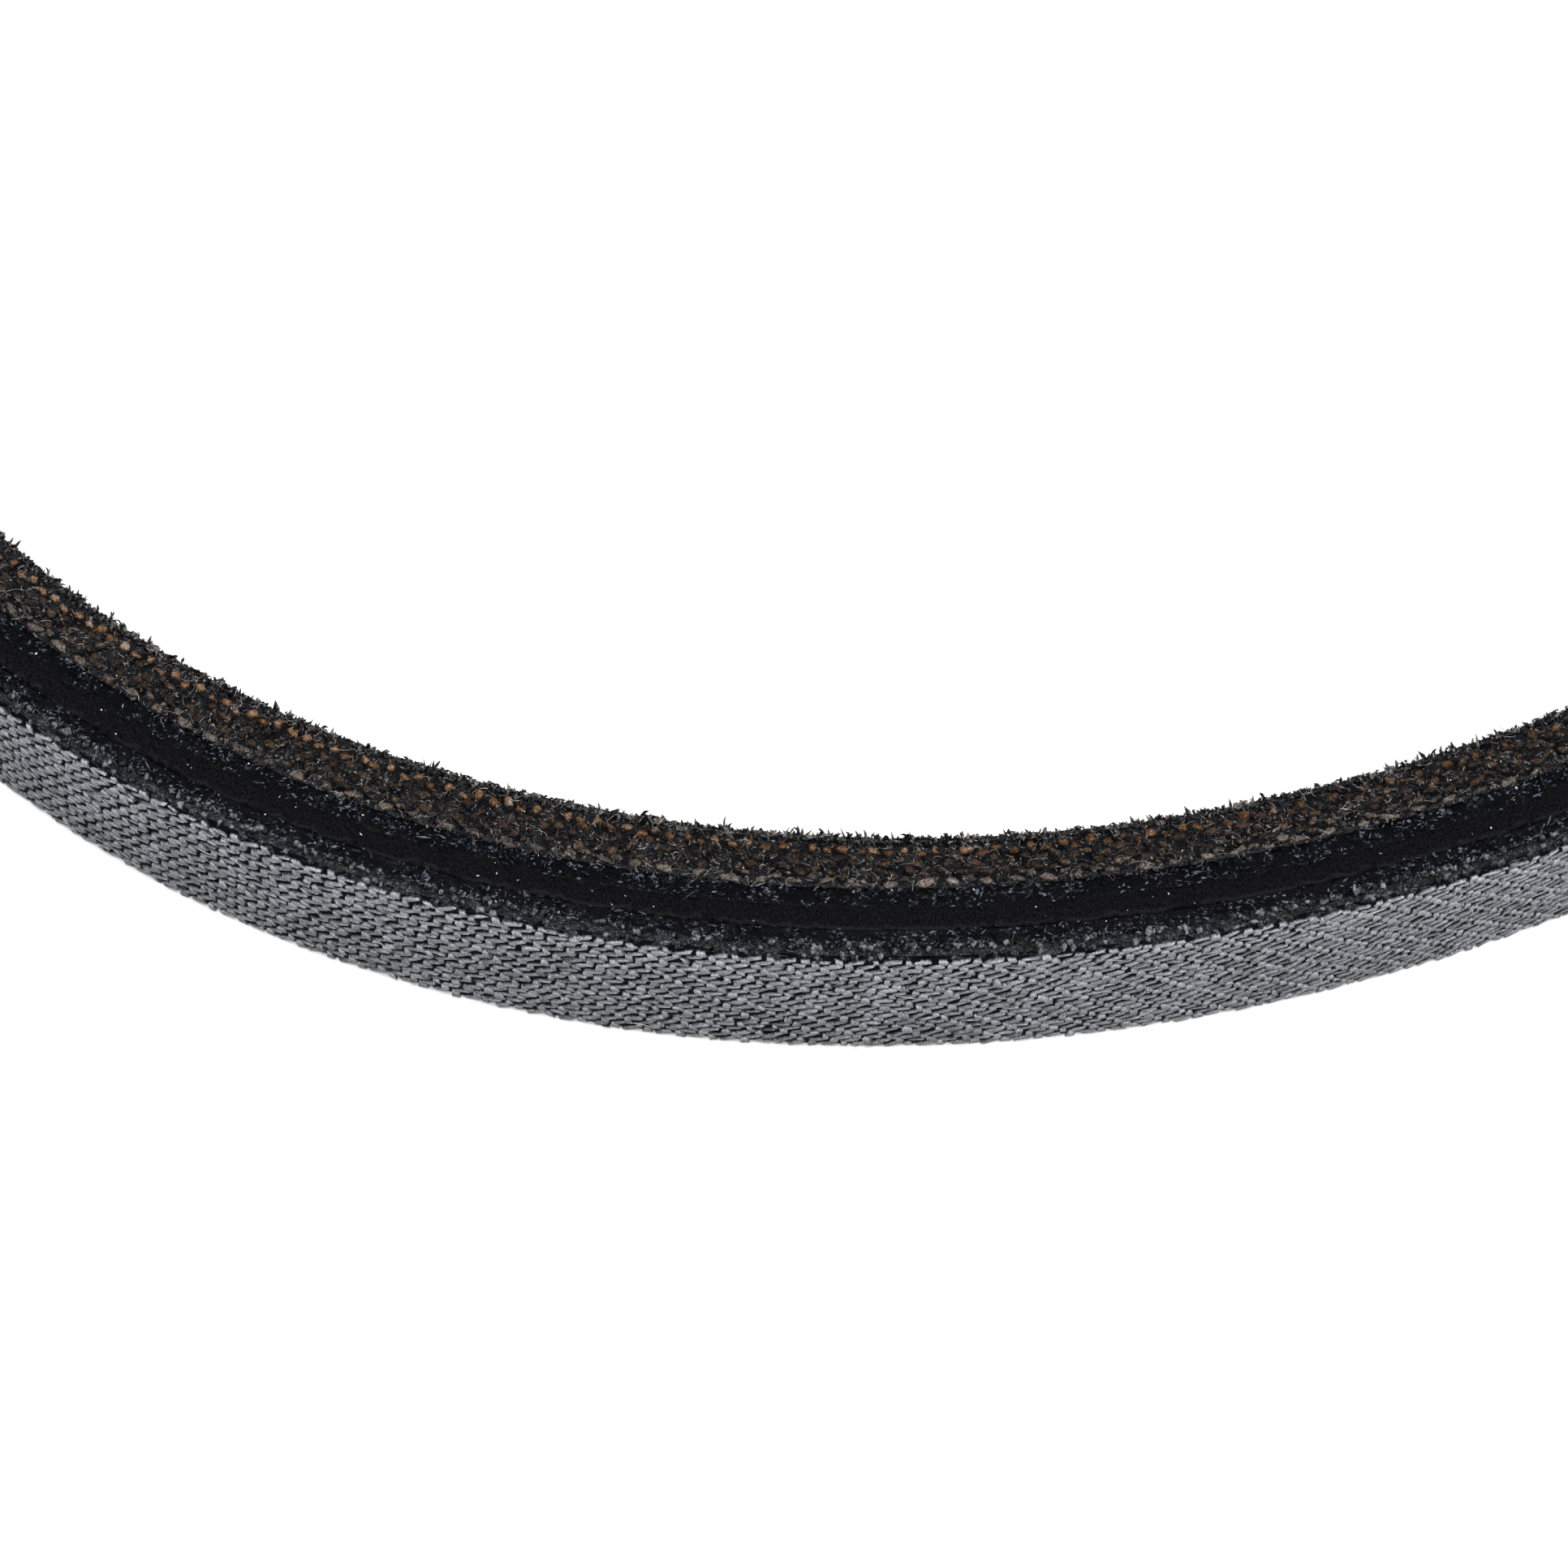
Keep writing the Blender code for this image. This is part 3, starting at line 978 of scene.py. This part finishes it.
class BELT_OT_laminate(bpy.types.Operator):
    """Model the compression plies: rubber body, yarn ends, crumbs and fibres"""

    bl_idname = "belt.laminate"
    bl_label = "Laminate plies"

    def execute(self, context):
        outer = node_depths("laminate_ply_1")[0]
        inner = node_depths("skim_gum_4")[1]

        def relief(run, across, draw):
            coarse = smooth_noise(run, across, 0.5 * MM, draw)
            fine = smooth_noise(run, across, 0.23 * MM, draw)
            return 0.08 * MM * coarse + 0.07 * MM * fine, 0.16 + 0.14 * fine + 0.1 * coarse

        ring = ply_ring(34, outer, inner, 14, relief)
        torn = torn_rubber_material("laminate")
        hand_over(ring, "laminate_rubber_body", torn, "skim_gum", "skim_gum_1", "skim_gum_2",
                  "skim_gum_3", "skim_gum_4")
        self.lay_yarn_ends(context)
        draw = np.random.default_rng(53)
        across = draw.uniform(outer - 0.05 * MM, inner + 0.2 * MM, 36000)
        run, across = gathered(19000, across, 0.5 * MM, draw)
        dust = crumbs(run, across, 0.10 * MM, (0.1, 1.0), draw, 4.0, (-0.02, 0.14))
        hand_over(dust, "laminate_crumbs", torn, "skim_gum")
        finish = fibre_and_glint_material()
        for name, count, stretch, lengths in (("lint", 9900, 0.42, 2), ("long_fibres", 6500, 0.7, 3)):
            run, across = self.fibre_places(context, count, draw)
            lint = loose_fibres(run, across, stretch, (0.2, 0.95), draw, 0.9, lengths=lengths)
            hand_over(lint, "laminate_" + name, finish, "laminate_canvas")
        return {"FINISHED"}

    def fibre_places(self, context, count, draw):
        """Run and across of fibres that gather round the yarn ends."""
        middles = [sum(node_depths(row[0])) / 2.0 + row[3] * MM for row in YARN_ROWS]
        middles.append(node_depths("inner_cover_ply")[0] - 0.15 * MM)
        across = draw.choice(middles, count) + 0.19 * MM * draw.standard_normal(count)
        pitch = LENGTH / context.scene.belt_weave.repeats / 2.0
        run = np.round(draw.uniform(0.0, LENGTH, count) / pitch) * pitch
        return run + 0.28 * MM * draw.standard_normal(count), across

    def lay_yarn_ends(self, context):
        """One piece of yarn ends for each ply, in two lines."""
        repeats = context.scene.belt_weave.repeats
        for number, (node, name, colour, shift, swing, rise, lines) in enumerate(YARN_ROWS):
            draw = np.random.default_rng(41 + number)
            middle = sum(node_depths(node)) / 2.0 + shift * MM
            run, across, size, tone = [], [], [], []
            for side in (1.0, -1.0):
                for line_shift, phase, half_length, half_width, line_tone in lines:
                    places = (np.arange(repeats) + phase) / repeats * LENGTH
                    run.append(places + 0.08 * MM * draw.standard_normal(repeats))
                    depth = middle + line_shift * MM
                    across.append(depth + 0.04 * MM * draw.standard_normal(repeats))
                    size.append(np.tile([[half_length * MM], [half_width * MM]], (1, repeats)))
                    bright = line_tone + swing * slow_wave(side * places + AMBER_LEAD, 2)
                    tone.append(bright + 0.09 * draw.standard_normal(repeats))
            ends = yarn_lumps(
                np.concatenate(run), np.concatenate(across), np.concatenate(size, axis=1), rise * MM,
                np.concatenate(tone), draw, lambda flat: on_both_flanks(flat, 0.5))
            finish = yarn_end_material(
                "resin_dipped_" + name + "_cotton", getattr(context.scene.belt_colours, colour))
            slot = "laminate_inner_canvas" if name == "amber" else "laminate_canvas"
            hand_over(ends, node + "_yarn_ends", finish, slot, node)


class BELT_OT_inner_cover(bpy.types.Operator):
    """Model the inner cover and the ragged inner edges"""

    bl_idname = "belt.inner_cover"
    bl_label = "Inner cover"

    def execute(self, context):
        outer, inner = node_depths("inner_cover_ply")

        def relief(run, across, draw):
            fine = smooth_noise(run, across, 0.25 * MM, draw)
            return 0.08 * MM * fine, 0.16 + 0.14 * fine

        ring = ply_ring(19, outer, inner - 0.05 * MM, 3, relief)
        draw = np.random.default_rng(61)
        count = 10500
        across = inner - 0.05 * MM - np.abs(draw.normal(0.0, 0.22, count)) * MM
        across += 0.10 * MM * draw.uniform(0.0, 1.0, count)
        run = draw.uniform(0.0, LENGTH, count)
        ragged = crumbs(run, across, 0.17 * MM, (0.15, 0.95), draw, 3.5, (-0.15, 0.16))
        spikes = edge_spikes(2600, inner, draw)
        join(ring, ragged, spikes)
        hand_over(ring, "inner_cover_body", torn_rubber_material("cover"), "inner_canvas",
                  "inner_cover_ply")
        return {"FINISHED"}


def edge_spikes(count, edge, draw):
    """Hooked shreds in tufts that stand out past both inner edges; returns the object."""
    unit = fibre_unit(3)
    points = repeat(unit, count)
    along = points[..., 2]
    tufts = bpy.context.scene.belt_weave.repeats
    tuft = draw.integers(0, tufts, count)
    tall = draw.lognormal(0.0, 0.35, tufts)[tuft]
    length = np.minimum(tall * draw.lognormal(math.log(0.28), 0.38, count), 0.5)[:, None] * MM
    radius = draw.uniform(0.05, 0.09, count)[:, None] * MM * (1.0 + 0.5 * along)
    lean = (draw.normal(0.2, 0.6, tufts)[tuft] + draw.normal(0.0, 0.4, count))[:, None]
    hook = (draw.normal(0.0, 1.0, tufts)[tuft] + draw.normal(0.0, 0.8, count))[:, None]
    angle = lean + hook * along
    flat = np.empty_like(points)
    flat[..., 0] = length * along * np.sin(angle) + points[..., 0] * radius
    flat[..., 1] = length * along * np.cos(angle) - 0.10 * MM
    flat[..., 2] = points[..., 1] * radius + draw.normal(0.0, 0.3, count)[:, None] * length * along
    run = tuft * LENGTH / tufts + draw.normal(0.0, 0.30, count) * MM
    lay(unit, flat, run, np.full(count, edge), draw.uniform(-0.3, 0.1, count) * MM)
    write_tone(unit, draw.uniform(0.0, 0.4, count))
    return unit


class BELT_OT_inside_weave(bpy.types.Operator):
    """Lay the canvas floats on the face inside the loop"""

    bl_idname = "belt.inside_weave"
    bl_label = "Inside weave"

    def execute(self, context):
        sizes = context.scene.belt_weave
        draw = np.random.default_rng(67)
        low, high = THICKNESS * LEAN_TAN, WIDTH - THICKNESS * LEAN_TAN
        rows = int((high - low) / (WIDTH / sizes.rows))
        row, column = np.meshgrid(np.arange(rows), np.arange(2 * sizes.repeats), indexing="ij")
        run = column * LENGTH / sizes.repeats / 2.0 - row * sizes.row_shift
        across = low + (row + 0.5) * (high - low) / rows
        places = np.stack([run, across, np.full(run.shape, -0.16 * MM)], axis=-1).reshape(-1, 3)
        count = len(places)
        unit = float_unit(sides=4)
        points = repeat(unit, count)
        steep = np.tile(np.arange(2 * sizes.repeats) % 2 == 0, rows)
        bright = (0.40 + 0.1 * draw.standard_normal(count))[:, None] - 0.1 * points[..., 0] ** 2
        points[..., 0] *= sizes.steep_length / 2.0
        points[..., 1] *= sizes.steep_width / 2.0
        points[..., 2] *= 0.16 * MM * varied(draw, count, 0.1)
        yaw = np.where(steep, math.radians(96.0), math.radians(158.0))
        points = turned(points, yaw + 0.06 * draw.standard_normal(count),
                        0.08 * draw.standard_normal(count), 0.08 * draw.standard_normal(count))
        points += places[:, None, :]
        points[..., 1] = np.clip(points[..., 1], low, high)
        write_points(unit, on_inside(points))
        write_tone(unit, bright)
        hand_over(unit, "inner_canvas_floats", cut_canvas_material(), "inner_canvas",
                  "inner_cover_ply")
        return {"FINISHED"}


class BELT_OT_glint_specks_and_strays(bpy.types.Operator):
    """Scatter pale specks on the flanks, painted glints, and stray fibres on the back"""

    bl_idname = "belt.dust"
    bl_label = "Dust and stray fibres"

    def execute(self, context):
        draw = np.random.default_rng(71)
        low, high = node_depths("cushion_gum")[0], node_depths("laminate_ply_4")[1]
        across = draw.uniform(low, high, 1000)
        run = draw.uniform(0.0, LENGTH, 1000)
        # Near-white specks on the flanks: painted glints.
        specks = crumbs(run, across, 0.06 * MM, (0.75, 1.3), draw, lift=(0.03, 0.12))
        finish = fibre_and_glint_material()
        hand_over(specks, "flank_dust_specks", finish, "cord")
        count = 900
        across = draw.uniform(0.3 * MM, WIDTH - 0.5 * MM, count)
        strays = loose_fibres(draw.uniform(0.0, LENGTH, count), across, 1.3, (0.5, 1.0), draw,
                              1.0, 0.03, 1.2, on_back, 3)
        hand_over(strays, "back_stray_fibres", finish, "back_canvas")
        return {"FINISHED"}


# ---- stage

CAMERA_PLACE = Vector((-111.6728, -98.4070, 184.2806)) * MM  # outside the near bend, high above it
CAMERA_TURN = (22.94172, -3.10791, -35.92082)  # degrees about X, Y and Z
CAMERA_LENS = 85.0
FLOOR_SIZE = 6.0
FLOOR_DROP = 0.3 * MM  # how far the floor lies under the belt, for the loose bits below it
LIGHT_AIM = (-0.06, -0.04, 0.0)


def soft_light(name, place, size, power):
    """A square soft box that faces the near arc of the belt."""
    data = bpy.data.lights.new(name, "AREA")
    data.shape = "SQUARE"
    data.size = size
    data.energy = power
    light = bpy.data.objects.new(name, data)
    light.location = place
    light.rotation_euler = (Vector(LIGHT_AIM) - Vector(place)).to_track_quat("-Z", "Y").to_euler()
    bpy.context.scene.collection.objects.link(light)


class BELT_OT_stage(bpy.types.Operator):
    """Set the floor, the camera and the soft boxes"""

    bl_idname = "belt.stage"
    bl_label = "Stage"

    def execute(self, context):
        scene = context.scene
        data = bpy.data.cameras.new("studio_camera")
        data.lens = CAMERA_LENS
        data.clip_start = 0.01
        scene.camera = bpy.data.objects.new("studio_camera", data)
        scene.camera.location = CAMERA_PLACE
        scene.camera.rotation_euler = [math.radians(angle) for angle in CAMERA_TURN]
        scene.collection.objects.link(scene.camera)
        start_fresh()
        bpy.ops.mesh.primitive_plane_add(size=FLOOR_SIZE, location=(0.0, 0.0, -FLOOR_DROP))
        floor = bpy.context.object
        floor.name = floor.data.name = "studio_floor"
        bpy.ops.object.transform_apply()
        floor.data.materials.append(floor_material())
        world = bpy.data.worlds.new("studio_world")
        world.use_nodes = True
        sky = world.node_tree.nodes["Background"].inputs
        sky["Color"].default_value = (0.80, 0.88, 1.0, 1.0)  # a cool sky keeps the blacks blue
        sky["Strength"].default_value = 0.12
        scene.world = world
        soft_light("key_box", (-0.20, -0.15, 0.84), 0.35, 8.5)
        soft_light("fill_box", (0.30, -0.35, 0.50), 0.4, 2.2)
        scene.view_settings.view_transform = "Standard"
        return {"FINISHED"}


class BELT_PT_panel(bpy.types.Panel):
    """Lists the belt's pieces, sizes and colours"""

    bl_idname = "BELT_PT_panel"
    bl_label = "V-belt"
    bl_space_type = "VIEW_3D"
    bl_region_type = "UI"
    bl_category = "V-belt"

    def draw(self, context):
        for operator in OPERATORS:
            self.layout.operator(operator.bl_idname)
        for key, kind in GROUPS.items():
            box = self.layout.box()
            for name in kind.__annotations__:
                box.prop(getattr(context.scene, key), name)


OPERATORS = (
    BELT_OT_stage,
    BELT_OT_back_weave,
    BELT_OT_back_bed,
    BELT_OT_back_edges,
    BELT_OT_cushion,
    BELT_OT_cord_side,
    BELT_OT_adhesion,
    BELT_OT_laminate,
    BELT_OT_inner_cover,
    BELT_OT_inside_weave,
    BELT_OT_glint_specks_and_strays,
)
GROUPS = {"belt_weave": WeaveSizes, "belt_flanks": FlankSizes, "belt_colours": BeltColours}


def register():
    """Registers the classes and hangs the sizes and colours on the scene."""
    for item in (*GROUPS.values(), *OPERATORS, BELT_PT_panel):
        bpy.utils.register_class(item)
    for key, kind in GROUPS.items():
        setattr(bpy.types.Scene, key, bpy.props.PointerProperty(type=kind))


def unregister():
    """Takes the sizes, the colours and the classes away again."""
    for key in GROUPS:
        delattr(bpy.types.Scene, key)
    for item in reversed((*GROUPS.values(), *OPERATORS, BELT_PT_panel)):
        bpy.utils.unregister_class(item)


def main():
    """Makes every piece in order."""
    register()
    for operator in OPERATORS:
        group, name = operator.bl_idname.split(".")
        getattr(getattr(bpy.ops, group), name)()
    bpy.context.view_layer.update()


if __name__ == "__main__":
    main()
